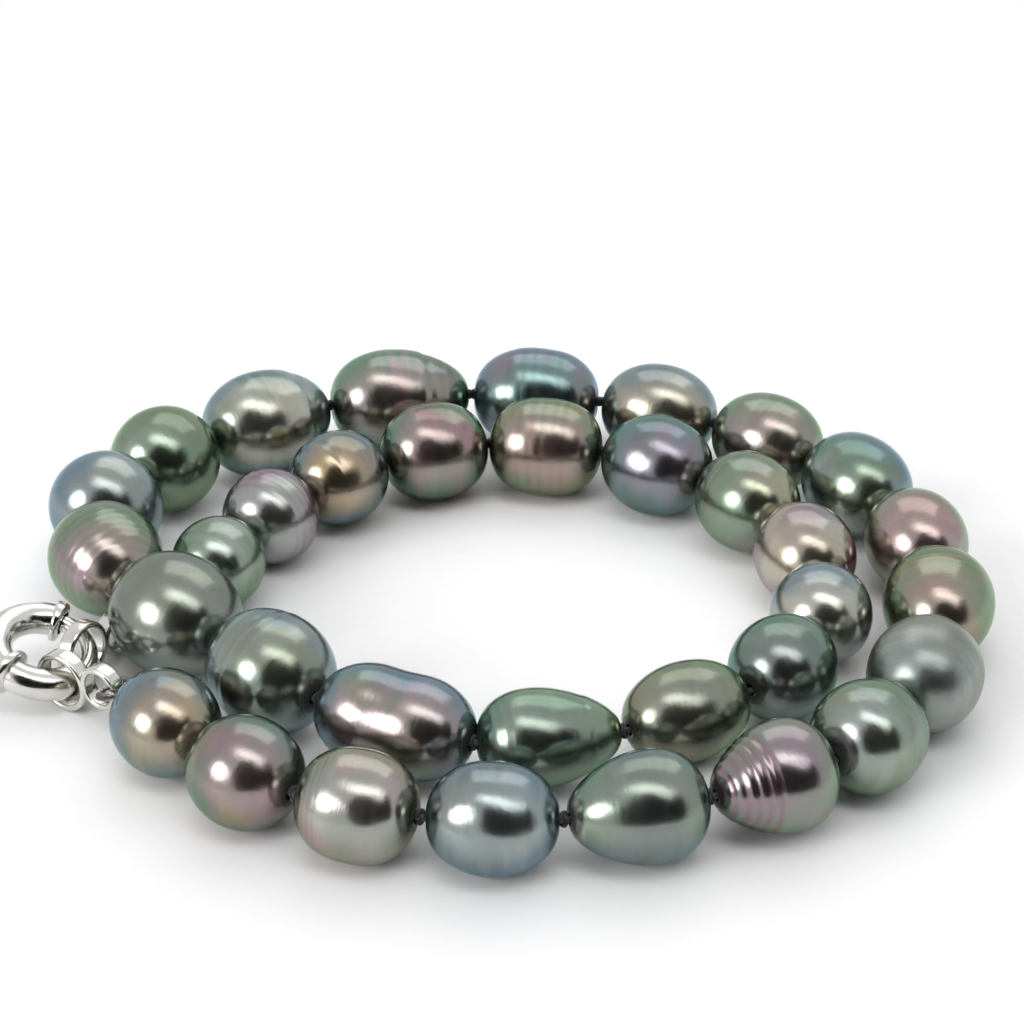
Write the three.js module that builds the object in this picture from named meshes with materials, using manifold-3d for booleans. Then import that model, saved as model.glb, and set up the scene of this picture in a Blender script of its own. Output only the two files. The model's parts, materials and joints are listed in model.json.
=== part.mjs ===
// A knotted strand of 34 dark baroque pearls, lying in a double coil and closed by a sprung ring
// clasp. Millimetres and degrees, +Z up, standing on Z = 0 with the origin under the middle.
// Every moving piece is built about its own joint: its mesh's origin lies on the joint's axis, and
// that axis is local X for a pearl and local Z for a thread link, the clasp ring, the bolt and a
// connector.
import * as THREE from "three";
import { mergeVertices } from "three/addons/utils/BufferGeometryUtils.js";
import Module from "manifold-3d";

const wasm = await Module();
wasm.setup();

// ---- Driving dimensions -------------------------------------------------------------------

const clearance = 0.3; // free gap between any two pieces that touch or run in each other

// Strand
const pearlScale = 1; // makes every pearl, and the coil they fill, larger or smaller
const drillHole = 1.2;
const drillRim = 0.3; // the least nacre left standing round the drill hole
const threadWidth = 0.6;
const knotWidth = 1.4;
const knotGap = 1.4; // bare thread between two pearls, filled by one knot
const gimpWidth = 0.8; // coiled silver wire that guards the thread where it loops through an eye
const freeLinks = 10; // pearls at the outer end that can be swung away from the coil

// Clasp ring
const ringRadius = 4.4; // from the ring's centre to the middle of its tube
const tubeWidth = 3.1;
const tubeWall = 0.4;
const collarFlare = 0.75; // how far the bead by the thumb slot stands out of the tube
const collarLength = 1.1;
const socketFlare = 0.45; // and the bead round the bolt's socket
const slotWidth = 1.3; // slot that the thumb tab slides in
const tabWidth = 0.7;
const tabHeight = 1.9; // how far the tab stands out of the tube
const tabLength = 1.6;
const springWire = 0.3;
const springTurns = 7;
const gripFlatness = 0.8; // height of the tab's round grip against its length

// Places round the clasp ring, in degrees anticlockwise from its local X axis
const barrelMouth = -28; // the bolt leaves the tube here
const socketMouth = 75; // and enters the tube's other end here
const socketDepth = 9;
const stopLength = 9; // solid stretch behind the socket, which the spring pushes on
const boltTipInSocket = 5;
const boltTail = -150;
const tabPlace = -141;
const collarPlace = -124;
const boltTravel = 60;
const frontEyePlace = -50;
const backEyePlace = 28;

// Figure-eight connectors: a large eye on the clasp ring and a small one on the gimp loop
const largeEye = 6.0;
const smallEye = 4.4;
const eyeWall = 0.6;
const eyeLength = 1.6;
const eyeJoin = 0.3; // how far the two eyes run into each other

// ---- Pearls, from the front connector round the coil to the back one ----------------------

// width is across the drill hole and length along it. taper leans the belly towards the far end,
// fullness above 2 squares the shoulders, lump flattens three sides, waist pinches the middle.
const pearls = [
  { width: 9.7, length: 9.9 },
  { width: 10.0, length: 9.8 },
  { width: 9.8, length: 10.0, fullness: 2.5, lump: 0.03 },
  { width: 9.8, length: 10.7, lump: 0.05 },
  { width: 10.1, length: 11.5, taper: 0.22, lump: 0.02 },
  { width: 10.3, length: 10.6, taper: 0.3 },
  { width: 10.4, length: 10.1, taper: -0.1 },
  { width: 10.7, length: 10.9 },
  { width: 10.9, length: 11.8, taper: 0.08 },
  { width: 10.4, length: 11.3 },
  { width: 10.9, length: 12.3 },
  { width: 10.7, length: 12.1, lump: 0.02 },
  { width: 11.1, length: 12.6 },
  { width: 11.5, length: 13.8, fullness: 2.3 },
  { width: 11.7, length: 15.4, taper: 0.14, lump: 0.02 },
  { width: 11.7, length: 14.3, taper: 0.08 },
  { width: 11.7, length: 11.2 },
  { width: 11.9, length: 10.5, lump: 0.02 },
  { width: 11.5, length: 11.6, taper: -0.1 },
  { width: 12.1, length: 12.9 },
  { width: 11.2, length: 11.9, fullness: 2.3 },
  { width: 10.5, length: 14.5, fullness: 2.6, lump: 0.03, waist: 0.07 },
  { width: 9.4, length: 12.4, taper: -0.28 },
  { width: 9.2, length: 11.5, lump: 0.02 },
  { width: 10.0, length: 9.9 },
  { width: 9.9, length: 9.6 },
  { width: 10.3, length: 10.9 },
  { width: 10.6, length: 10.9 },
  { width: 10.9, length: 11.6, lump: 0.05 },
  { width: 10.8, length: 11.9, fullness: 2.8 },
  { width: 10.8, length: 11.2, fullness: 2.3 },
  { width: 10.3, length: 10.1, lump: 0.02 },
  { width: 10.2, length: 8.9 },
  { width: 9.4, length: 8.8 },
];

// The coil that the strand lies in, seen from above: once round the outside, then once inside it.
const coilRoute = [
  [-35, -19.8], [-31, -25.5], [-22.5, -34], [-13, -37.5], [-1.5, -40], [11, -38],
  [23, -34], [32.5, -27.5], [38.5, -17.5], [42, -5], [41.5, 7.5], [37.5, 20],
  [28.5, 30], [16, 37.5], [2, 40.5], [-14, 40.5], [-28.5, 34], [-39, 24],
  [-43.5, 13], [-42, 2], [-31.8, -8.6], [-22, -18], [-10.5, -27.5], [3.5, -28],
  [16, -23], [26.5, -16], [30.5, -6], [30, 5], [25, 17], [15.5, 24.5],
  [3, 29.5], [-9, 28], [-19.5, 21.5], [-26, 12.5], [-29.5, 3.5], [-32, -1.5],
];
const routeStart = 0.8; // length of the route that is left over before the first knot
const routeEnd = 0.6; // and after the last one

// Where the clasp ring lies beside the pearl that begins the inner turn, and how it leans
const innerTurnStart = 20;
const ringTuck = 1.15; // how far its eyes reach in beside that pearl's widest place
const ringForward = 3.45; // and how far it lies forward of that pearl's middle
const ringNormal = [0.3, -0.2, 1];
const frontConnectorHeading = [0.83, -0.55, 0.2];
const backConnectorHeading = [0.46, 0.88, -0.14];
const backEyeInset = 0.5; // the back eye hangs this far inside the middle of the bolt

// ---- How finely curves are cut into flats ---------------------------------------------------

const pearlSides = 12;
const pearlRings = 8;
const threadSides = 8;
const knotSides = 6;
const knotRings = 4;
const tubeSides = 12;
const tubeStep = 10; // degrees of the clasp ring in one flat
const springSides = 6;
const springStepsPerTurn = 7;
const gripSides = 10;
const gripRings = 6;
const eyeSides = 24;
const gimpSides = 8;
const gimpSteps = 26;
const routeSamples = 2000; // the route's length is measured in this many pieces
const weldDistance = 1e-4; // corners this close together are one corner

// ---- Finishes -----------------------------------------------------------------------------

const silver = new THREE.MeshStandardMaterial({ color: 0xd9d9d6, roughness: 0.16, metalness: 1 });
const silk = new THREE.MeshStandardMaterial({ color: 0x1c1b1d, roughness: 0.8, metalness: 0 });
const nacreColours = [0x5f6f68, 0x6b6570, 0x7d8480, 0x59665f, 0x6f7a76];

// ---- Helpers ------------------------------------------------------------------------------

const radians = THREE.MathUtils.degToRad;
const point = (x, y, z) => new THREE.Vector3(x, y, z);
const group = new THREE.Group();

// A closed geometry as a solid that can be joined and cut, with its faces pointing out.
function solidFrom(geometry) {
  const bare = geometry.clone();
  bare.deleteAttribute("normal");
  bare.deleteAttribute("uv");
  const merged = mergeVertices(bare, weldDistance);
  const mesh = new wasm.Mesh({
    numProp: 3,
    vertProperties: new Float32Array(merged.attributes.position.array),
    triVerts: new Uint32Array(merged.index.array),
  });
  const solid = new wasm.Manifold(mesh);
  if (solid.volume() >= 0) return solid;
  for (let i = 0; i < mesh.triVerts.length; i += 3) {
    [mesh.triVerts[i], mesh.triVerts[i + 1]] = [mesh.triVerts[i + 1], mesh.triVerts[i]];
  }
  return new wasm.Manifold(mesh);
}

function geometryFrom(solid) {
  const { vertProperties, triVerts } = solid.getMesh();
  const geometry = new THREE.BufferGeometry();
  geometry.setAttribute("position", new THREE.BufferAttribute(vertProperties, 3));
  geometry.setIndex(new THREE.BufferAttribute(triVerts, 1));
  geometry.computeVertexNormals();
  return geometry;
}

const joined = (geometries) => geometries.map(solidFrom).reduce((all, one) => all.add(one));

function addPiece(name, solid, material, parent = group) {
  const mesh = new THREE.Mesh(geometryFrom(solid), material);
  mesh.name = name;
  parent.add(mesh);
  return mesh;
}

function roundSection(width, bore = 0) {
  const section = new THREE.Shape().absarc(0, 0, width / 2, 0, 2 * Math.PI, false);
  if (bore > 0) section.holes.push(new THREE.Path().absarc(0, 0, bore / 2, 0, 2 * Math.PI, true));
  return section;
}

// A round section has two sides for each of its curve segments.
const sweep = (section, path, steps, sides) =>
  new THREE.ExtrudeGeometry(section, { extrudePath: path, steps, curveSegments: sides / 2 });

// An arc about the origin in the XY plane, from one angle to another in degrees.
class Arc extends THREE.Curve {
  constructor(radius, from, to) {
    super();
    Object.assign(this, { radius, from, to });
  }
  getPoint(t, target = new THREE.Vector3()) {
    const angle = radians(this.from + (this.to - this.from) * t);
    return target.set(this.radius * Math.cos(angle), this.radius * Math.sin(angle), 0);
  }
}

// A coil of wire whose middle line follows that arc.
class ArcCoil extends Arc {
  constructor(radius, from, to, coilRadius, turns) {
    super(radius, from, to);
    Object.assign(this, { coilRadius, turns });
  }
  getPoint(t, target = new THREE.Vector3()) {
    const angle = radians(this.from + (this.to - this.from) * t);
    const turn = 2 * Math.PI * this.turns * t;
    const reach = this.radius + this.coilRadius * Math.cos(turn);
    const height = this.coilRadius * Math.sin(turn);
    return target.set(reach * Math.cos(angle), reach * Math.sin(angle), height);
  }
}

const straight = (from, to) => new THREE.LineCurve3(from, to);

// ---- Pearls -------------------------------------------------------------------------------

const drillMouth = 0.985; // the drill hole opens out just short of the pearl's tip
const taperSpread = 0.55; // takes back the width that a tapered belly gains
const waistReach = 0.3; // the pinch's reach along the pearl, where the tip is at 1

// Half the pearl's width at u, which runs from -1 at its first drill mouth to 1 at its last.
function bellyAt({ width, taper = 0, fullness = 2, waist = 0 }, u) {
  const round = Math.sqrt(Math.max(0, 1 - Math.abs(u) ** fullness));
  const lean = (1 + taper * u) / (1 + taper * taper * taperSpread);
  const pinch = 1 - waist * Math.exp(-((u / waistReach) ** 2));
  return (width / 2) * round * lean * pinch;
}

function pearlSolid(pearl) {
  const { length, lump = 0 } = pearl;
  const profile = [];
  for (let i = 0; i <= pearlRings; i += 1) {
    const u = -drillMouth * Math.cos((Math.PI * i) / pearlRings);
    const atMouth = i === 0 || i === pearlRings;
    const radius = drillHole / 2 + (atMouth ? 0 : drillRim);
    const belly = atMouth ? 0 : bellyAt(pearl, u);
    profile.push(new THREE.Vector2(Math.max(belly, radius), (u / drillMouth) * (length / 2)));
  }
  profile.push(profile[0].clone());
  const geometry = new THREE.LatheGeometry(profile, pearlSides);
  const place = geometry.attributes.position;
  for (let i = 0; i < place.count; i += 1) {
    const [x, z] = [place.getX(i), place.getZ(i)];
    const isWall = Math.hypot(x, z) < (drillHole + drillRim) / 2;
    const flattening = (1 + Math.cos(3 * Math.atan2(x, z))) / 2;
    const shrink = isWall ? 1 : 1 - lump * flattening;
    place.setXYZ(i, x * shrink, place.getY(i), z * shrink);
  }
  geometry.rotateZ(-Math.PI / 2);
  return solidFrom(geometry);
}

// The knots are found by walking the strand along the coil, which is scaled to the strand.
const strung = pearls.map((pearl) => ({
  ...pearl,
  width: pearl.width * pearlScale,
  length: pearl.length * pearlScale,
}));
const strandLength = strung.reduce((sum, { length }) => sum + length + knotGap, 0);
const drawnRoute = new THREE.CatmullRomCurve3(coilRoute.map(([x, y]) => point(x, y, 0)));
drawnRoute.arcLengthDivisions = routeSamples;
const coilScale = strandLength / (drawnRoute.getLength() - routeStart - routeEnd);

function knotPlaces() {
  const places = [];
  let walked = routeStart * coilScale;
  const routeLength = drawnRoute.getLength() * coilScale;
  for (let i = 0; i <= strung.length; i += 1) {
    const share = Math.min(1, walked / routeLength);
    const before = strung[Math.max(0, i - 1)];
    const after = strung[Math.min(strung.length - 1, i)];
    const spot = drawnRoute.getPointAt(share).multiplyScalar(coilScale);
    places.push(spot.setZ(Math.max(before.width, after.width) / 2));
    if (i < strung.length) walked += after.length + knotGap;
  }
  return places;
}

const knots = knotPlaces();
const pearlName = (i) => `pearl_${String(i + 1).padStart(2, "0")}`;

strung.forEach((pearl, i) => {
  const colour = nacreColours[i % nacreColours.length];
  const nacre = new THREE.MeshStandardMaterial({ color: colour, roughness: 0.22, metalness: 0.3 });
  const mesh = addPiece(pearlName(i), pearlSolid(pearl), nacre);
  mesh.position.copy(knots[i]).lerp(knots[i + 1], 0.5);
  const along = knots[i + 1].clone().sub(knots[i]).normalize();
  const across = point(0, 0, 1).cross(along).normalize();
  const up = along.clone().cross(across);
  mesh.quaternion.setFromRotationMatrix(new THREE.Matrix4().makeBasis(along, across, up));
});

// ---- Thread -------------------------------------------------------------------------------

const threadSection = roundSection(threadWidth);
const knotBall = (at) =>
  new THREE.SphereGeometry(knotWidth / 2, knotSides, knotRings).translate(at.x, at.y, at.z);

// Bare thread from one knot towards the next, stopping short of the next knot's own piece.
function threadBetween(from, to, stopsShort) {
  const end = to.clone();
  if (stopsShort) end.sub(to.clone().sub(from).setLength(knotWidth / 2 + clearance));
  return sweep(threadSection, straight(from, end), 1, threadSides);
}

// Each free link is one pearl's thread with the knot that it hinges at, built about that knot.
for (let i = freeLinks; i >= 1; i -= 1) {
  const hinge = knots[i];
  const end = knots[i - 1].clone().sub(hinge);
  const pieces = [knotBall(point(0, 0, 0)), threadBetween(point(0, 0, 0), end, i > 1)];
  if (i === 1) pieces.push(knotBall(end));
  const name = `thread_link_${String(i).padStart(2, "0")}`;
  addPiece(name, joined(pieces), silk).position.copy(hinge);
}

// The rest of the thread is one piece, from the last free link's knot to the strand's end.
const settledThread = [];
for (let i = freeLinks; i < strung.length; i += 1) {
  settledThread.push(threadBetween(knots[i + 1], knots[i], i === freeLinks));
  settledThread.push(knotBall(knots[i + 1]));
}
addPiece("thread_through_settled_pearls", joined(settledThread), silk);

// ---- Clasp ring, bolt, tab and spring -----------------------------------------------------

const tubeBore = tubeWidth - 2 * tubeWall;
const boltWidth = tubeBore - 2 * clearance;
const collarWidth = tubeWidth + 2 * collarFlare;
const socketCollarWidth = tubeWidth + 2 * socketFlare;
const fullTurn = 360;
const arcSteps = (degrees) => Math.max(1, Math.round(Math.abs(degrees) / tubeStep));
const arcTube = (section, from, to) =>
  sweep(section, new Arc(ringRadius, from, to), arcSteps(to - from), tubeSides);
const degreesFor = (length) => THREE.MathUtils.radToDeg(length / ringRadius);

const largeHole = largeEye - 2 * eyeWall;
const smallHole = smallEye - 2 * eyeWall;

const tilt = new THREE.Quaternion().setFromUnitVectors(
  point(0, 0, 1),
  point(...ringNormal).normalize(),
);
const onRing = (angle) => new Arc(ringRadius, angle, angle).getPoint(0).applyQuaternion(tilt);
const eyePlay = largeHole / 2 - tubeWidth / 2 - clearance; // how far an eye can drop on the tube
const eyeSeat = eyePlay / 2;
const neighbour = strung[innerTurnStart - 1];
const ringReach = neighbour.width / 2 + ringRadius + largeEye / 2 - ringTuck;
const ringCentre = knots[innerTurnStart - 1].clone().lerp(knots[innerTurnStart], 0.5);
ringCentre.add(point(-ringReach, -ringForward, 0));
ringCentre.z = largeEye / 2 - eyeSeat - onRing(frontEyePlace).z;

const clasp = new THREE.Group();
clasp.position.copy(ringCentre);
clasp.quaternion.copy(tilt);
group.add(clasp);

function collar(width, middle, length) {
  const half = degreesFor(length) / 2;
  const bead = roundSection(width, tubeWidth - tubeWall);
  return solidFrom(sweep(bead, new Arc(ringRadius, middle - half, middle + half), 2, tubeSides));
}

// A block that follows the ring's outer side: its section is a rectangle from the tube's middle.
function arcBlock(from, to, inner, outer, height) {
  const steps = arcSteps(to - from);
  const outline = new THREE.Shape();
  for (let i = 0; i <= steps; i += 1) {
    const angle = radians(from + ((to - from) * i) / steps);
    outline[i ? "lineTo" : "moveTo"](outer * Math.cos(angle), outer * Math.sin(angle));
  }
  for (let i = steps; i >= 0; i -= 1) {
    const angle = radians(from + ((to - from) * i) / steps);
    outline.lineTo(inner * Math.cos(angle), inner * Math.sin(angle));
  }
  const block = new THREE.ExtrudeGeometry(outline, { depth: height, bevelEnabled: false });
  return solidFrom(block.translate(0, 0, -height / 2));
}

function ringCase() {
  const caseEnd = barrelMouth + fullTurn;
  const stopFrom = socketMouth + socketDepth;
  let ring = solidFrom(arcTube(roundSection(tubeWidth, tubeBore), socketMouth, caseEnd));
  const plugSection = roundSection(tubeBore + tubeWall);
  ring = ring.add(solidFrom(arcTube(plugSection, stopFrom, stopFrom + stopLength)));
  ring = ring.add(collar(collarWidth, collarPlace + fullTurn, collarLength));
  ring = ring.add(collar(socketCollarWidth, socketMouth + degreesFor(collarLength) / 2, collarLength));
  const slotPlay = degreesFor(tabLength / 2 + clearance);
  const slotFrom = tabPlace + fullTurn - boltTravel - slotPlay;
  const slotTo = tabPlace + fullTurn + slotPlay;
  const outside = ringRadius + tubeWidth;
  return ring.subtract(arcBlock(slotFrom, slotTo, ringRadius, outside, slotWidth));
}

addPiece("clasp_ring", ringCase(), silver, clasp);
const boltTip = socketMouth + boltTipInSocket;
addPiece("clasp_bolt", solidFrom(arcTube(roundSection(boltWidth), boltTail, boltTip)), silver, clasp);

// The thumb tab: a flat stem through the slot with a rounded grip outside the tube.
function thumbTab() {
  const half = degreesFor(tabLength) / 2;
  const foot = ringRadius + boltWidth / 2 + clearance;
  const crown = ringRadius + tubeWidth / 2 + tabHeight;
  const stem = arcBlock(tabPlace - half, tabPlace + half, foot, crown, tabWidth);
  const grip = new THREE.SphereGeometry(tabLength / 2, gripSides, gripRings);
  const angle = radians(tabPlace);
  const reach = crown - tabLength / 4;
  grip.scale(1, 1, gripFlatness).translate(reach * Math.cos(angle), reach * Math.sin(angle), 0);
  return stem.add(solidFrom(grip));
}
addPiece("clasp_thumb_tab", thumbTab(), silver, clasp);

// The spring lies in the tube between the stop and the bolt's tail.
function claspSpring() {
  const wireEnd = degreesFor(springWire / 2 + clearance);
  const from = socketMouth + socketDepth + stopLength + wireEnd;
  const to = boltTail + fullTurn - wireEnd;
  const coilRadius = tubeBore / 2 - springWire / 2 - clearance;
  const path = new ArcCoil(ringRadius, from, to, coilRadius, springTurns);
  const steps = springTurns * springStepsPerTurn;
  return solidFrom(sweep(roundSection(springWire), path, steps, springSides));
}
addPiece("clasp_spring", claspSpring(), silver, clasp);

// ---- Connectors and gimp loops ------------------------------------------------------------

const eyeSpacing = (largeEye + smallEye) / 2 - eyeJoin;

const disc = (width, length, x) =>
  new THREE.CylinderGeometry(width / 2, width / 2, length, eyeSides)
    .rotateX(Math.PI / 2)
    .translate(x, 0, 0);

function connectorSolid() {
  const outside = joined([disc(largeEye, eyeLength, 0), disc(smallEye, eyeLength, eyeSpacing)]);
  const holes = joined([disc(largeHole, 2 * eyeLength, 0), disc(smallHole, 2 * eyeLength, eyeSpacing)]);
  return outside.subtract(holes);
}

// A connector's local X points from its large eye to its small one, and Z through both holes.
function addConnector(name, centre, heading) {
  const mesh = addPiece(name, connectorSolid(), silver);
  const along = point(...heading).normalize();
  const through = along.clone().cross(point(0, 0, 1)).normalize();
  const side = through.clone().cross(along);
  mesh.position.copy(centre);
  mesh.quaternion.setFromRotationMatrix(new THREE.Matrix4().makeBasis(along, side, through));
  return { eye: centre.clone().addScaledVector(along, eyeSpacing), along, through };
}

// A loop of gimp that leaves a knot, wraps the far rim of a small eye and comes back beside itself.
function addGimp(name, knot, { eye, along, through }) {
  const insideEye = eye.clone().addScaledVector(along, smallHole / 2 - gimpWidth / 2 - clearance);
  const pastRim = eye.clone().addScaledVector(along, smallEye / 2 + gimpWidth + clearance);
  const neck = pastRim.clone().sub(knot).normalize();
  const neckSide = neck.clone().cross(point(0, 0, 1)).normalize();
  if (neckSide.dot(through) < 0) neckSide.negate();
  const base = knot.clone().addScaledVector(neck, knotWidth / 2 + clearance);
  const beside = eyeLength / 2 + gimpWidth / 2 + clearance;
  const overRim = eye.clone().addScaledVector(along, smallEye / 2);
  const leg = gimpWidth / 2 + clearance / 2;
  const shifted = (at, direction, by) => at.clone().addScaledVector(direction, by);
  const path = new THREE.CatmullRomCurve3([
    shifted(base, neckSide, leg),
    shifted(pastRim, through, leg),
    shifted(overRim, through, beside),
    shifted(insideEye, through, beside),
    insideEye,
    shifted(insideEye, through, -beside),
    shifted(overRim, through, -beside),
    shifted(pastRim, through, -leg),
    shifted(base, neckSide, -leg),
  ]);
  addPiece(name, solidFrom(sweep(roundSection(gimpWidth), path, gimpSteps, gimpSides)), silver);
}

const frontCentre = ringCentre.clone().add(onRing(frontEyePlace));
frontCentre.z = largeEye / 2;
const frontEnd = addConnector("front_connector", frontCentre, frontConnectorHeading);
addGimp("front_gimp_loop", knots[0], frontEnd);

const backPlace = onRing(backEyePlace);
const backCentre = ringCentre.clone().add(backPlace.setLength(ringRadius - backEyeInset));
backCentre.z = largeEye / 2;
const backEnd = addConnector("back_connector", backCentre, backConnectorHeading);
addGimp("back_gimp_loop", knots[strung.length], backEnd);

// ---- Stand the whole necklace on Z = 0, over the origin ------------------------------------

const extent = new THREE.Box3().setFromObject(group, true);
const middle = extent.getCenter(new THREE.Vector3());
group.position.set(-middle.x, -middle.y, -extent.min.z);

export default group;
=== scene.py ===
import json
import math

import bmesh
import bpy
from mathutils import Matrix, Vector


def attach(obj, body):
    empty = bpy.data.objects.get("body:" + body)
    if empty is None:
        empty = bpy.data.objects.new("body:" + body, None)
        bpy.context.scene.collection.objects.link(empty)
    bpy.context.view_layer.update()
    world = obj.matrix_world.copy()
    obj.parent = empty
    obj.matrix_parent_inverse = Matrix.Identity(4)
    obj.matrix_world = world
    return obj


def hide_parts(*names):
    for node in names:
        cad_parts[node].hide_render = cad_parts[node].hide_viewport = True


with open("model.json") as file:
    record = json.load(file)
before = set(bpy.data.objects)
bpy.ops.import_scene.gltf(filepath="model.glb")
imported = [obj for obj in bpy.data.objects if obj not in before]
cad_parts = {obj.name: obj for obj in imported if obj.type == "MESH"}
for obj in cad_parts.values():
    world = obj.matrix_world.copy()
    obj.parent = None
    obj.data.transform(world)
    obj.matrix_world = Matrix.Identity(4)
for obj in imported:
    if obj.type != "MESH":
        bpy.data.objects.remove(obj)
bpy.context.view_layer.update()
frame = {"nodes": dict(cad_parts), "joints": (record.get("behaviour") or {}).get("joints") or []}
mm = 0.001
joints = {joint["name"]: joint for joint in frame["joints"]}
jointPlace = {name: Vector(joint["pos_m"]) for name, joint in joints.items()}
jointAxis = {name: Vector(joint["axis"]).normalized() for name, joint in joints.items()}
pearlNames = sorted(name for name in frame["nodes"] if name.startswith("pearl_"))
print("stage: frame loaded,", len(pearlNames), "pearls")


benchSettings = {"columns": 12, "across": 220, "down": 180}
fullTurn = 2 * math.pi


class Number:  # a socket whose sums become Math nodes
    def __init__(self, bench, socket):
        self.bench = bench
        self.socket = socket

    def __add__(self, other):
        return self.bench.maths("ADD", self, other)

    def __radd__(self, other):
        return self.bench.maths("ADD", other, self)

    def __sub__(self, other):
        return self.bench.maths("SUBTRACT", self, other)

    def __rsub__(self, other):
        return self.bench.maths("SUBTRACT", other, self)

    def __mul__(self, other):
        return self.bench.maths("MULTIPLY", self, other)

    def __rmul__(self, other):
        return self.bench.maths("MULTIPLY", other, self)

    def __truediv__(self, other):
        return self.bench.maths("DIVIDE", self, other)

    def __rtruediv__(self, other):
        return self.bench.maths("DIVIDE", other, self)

    def __pow__(self, other):
        return self.bench.maths("POWER", self, other)


class Bench:  # lays nodes out in one tree
    def __init__(self, tree):
        self.tree = tree

    def plug(self, socket, value):
        if isinstance(value, Number):
            value = value.socket
        if isinstance(value, bpy.types.NodeSocket):
            self.tree.links.new(value, socket)
        else:
            socket.default_value = value

    def add(self, kind, settings=None, sockets=None):
        node = self.tree.nodes.new(kind)
        for key, value in (settings or {}).items():
            setattr(node, key, value)
        for key, value in (sockets or {}).items():
            self.plug(node.inputs[key], value)
        row, column = divmod(len(self.tree.nodes), benchSettings["columns"])
        node.location = (column * benchSettings["across"], -row * benchSettings["down"])
        return node

    def get(self, node, key=0):
        return Number(self, node.outputs[key])

    def maths(self, operation, *values):
        node = self.add("ShaderNodeMath", {"operation": operation}, dict(enumerate(values)))
        return self.get(node)

    def vector(self, operation, *values):
        node = self.add("ShaderNodeVectorMath", {"operation": operation}, dict(enumerate(values)))
        return node.outputs[0]

    def scaled(self, value, by):
        node = self.add("ShaderNodeVectorMath", {"operation": "SCALE"}, {0: value, "Scale": by})
        return node.outputs[0]

    def blended(self, share, first, second, way="MIX"):  # two colours
        sockets = {0: share, 6: first, 7: second}
        return self.add("ShaderNodeMix", {"data_type": "RGBA", "blend_type": way}, sockets).outputs[2]

    def smooth(self, value, low, high, toLow=0.0, toHigh=1.0):
        sockets = {0: value, 1: low, 2: high, 3: toLow, 4: toHigh}
        settings = {"interpolation_type": "SMOOTHSTEP"}
        return self.get(self.add("ShaderNodeMapRange", settings, sockets))

    def noise(self, place, scale, detail=2.0, roughness=0.5):
        sockets = {"Vector": place, "Scale": scale, "Detail": detail, "Roughness": roughness}
        return self.get(self.add("ShaderNodeTexNoise", None, sockets))


def newTree(name, inputs):  # a geometry tree with named inputs, and the bench to wire it on
    tree = bpy.data.node_groups.new(name, "GeometryNodeTree")
    tree.interface.new_socket("Geometry", in_out="INPUT", socket_type="NodeSocketGeometry")
    tree.interface.new_socket("Geometry", in_out="OUTPUT", socket_type="NodeSocketGeometry")
    for label, kind in inputs.items():
        tree.interface.new_socket(label, in_out="INPUT", socket_type="NodeSocket" + kind)
    bench = Bench(tree)
    source = bench.add("NodeGroupInput")
    given = {socket.name: bench.get(source, socket.name) for socket in source.outputs if socket.name}
    return tree, bench, given


def endTree(bench, geometry, finish):  # smooth, real and painted
    smoothed = bench.add("GeometryNodeSetShadeSmooth", None, {"Geometry": geometry})
    real = bench.add("GeometryNodeRealizeInstances", None, {"Geometry": smoothed.outputs[0]})
    painted = bench.add("GeometryNodeSetMaterial", None, {"Geometry": real.outputs[0], "Material": finish})
    bench.add("NodeGroupOutput", None, {"Geometry": painted.outputs[0]})


def grown(name, tree, values, base=None):  # the plain mesh that a tree makes from its inputs
    data = base or bpy.data.meshes.new(name + "Seed")
    holder = bpy.data.objects.new(name + "Seed", data)
    bpy.context.scene.collection.objects.link(holder)
    modifier = holder.modifiers.new("grow", "NODES")
    modifier.node_group = tree
    for item in tree.interface.items_tree:
        if item.in_out == "INPUT" and item.name in values:
            modifier[item.identifier] = values[item.name]
    graph = bpy.context.evaluated_depsgraph_get()
    mesh = bpy.data.meshes.new_from_object(holder.evaluated_get(graph), depsgraph=graph)
    holder.modifiers.remove(modifier)
    bpy.data.objects.remove(holder)
    mesh.name = name
    return mesh


def placed(name, mesh, body, nodes):  # a finished piece, riding on its body
    piece = bpy.data.objects.new(name, mesh)
    bpy.context.scene.collection.objects.link(piece)
    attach(piece, body)
    if nodes:
        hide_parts(*nodes)
    return piece


cameraSettings = {"place": (2.25, -188.9, 115.9), "tipDown": 28.752, "lens": 77.1,
                  "sensor": 36, "nearest": 5}


def addCamera():
    data = bpy.data.cameras.new("camera")
    data.lens = cameraSettings["lens"]
    data.sensor_width = cameraSettings["sensor"]
    data.clip_start = cameraSettings["nearest"] * mm
    camera = bpy.data.objects.new("camera", data)
    camera.location = Vector(cameraSettings["place"]) * mm
    camera.rotation_euler = (math.radians(90 - cameraSettings["tipDown"]), 0, 0)
    bpy.context.scene.collection.objects.link(camera)
    bpy.context.scene.camera = camera


addCamera()
print("stage: camera set")


# Shapes: lump roughens the whole pearl, rings are grooves round it from ringFrom to ringTo, and
# step is a ledge at stepAt. Places along a pearl run from -1 at its first hole to 1 at its last.
# Colours: body and belly lie in clouds, blush in bands, and glow in patches and at a glancing angle; painted
# shade darkens the ring grooves and the drill holes.
tints = {
    "slate": (0.175, 0.205, 0.2), "sage": (0.215, 0.25, 0.17), "teal": (0.125, 0.235, 0.185),
    "blue": (0.165, 0.235, 0.28), "mauve": (0.27, 0.205, 0.245), "plum": (0.25, 0.125, 0.155),
    "bronze": (0.265, 0.225, 0.135), "champagne": (0.42, 0.365, 0.265), "cream": (0.54, 0.5, 0.41),
    "silver": (0.36, 0.395, 0.365), "green": (0.175, 0.265, 0.175), "rose": (0.4, 0.275, 0.275),
    "peach": (0.5, 0.35, 0.21), "grey": (0.255, 0.275, 0.24), "dark": (0.06, 0.07, 0.055),
}
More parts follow.
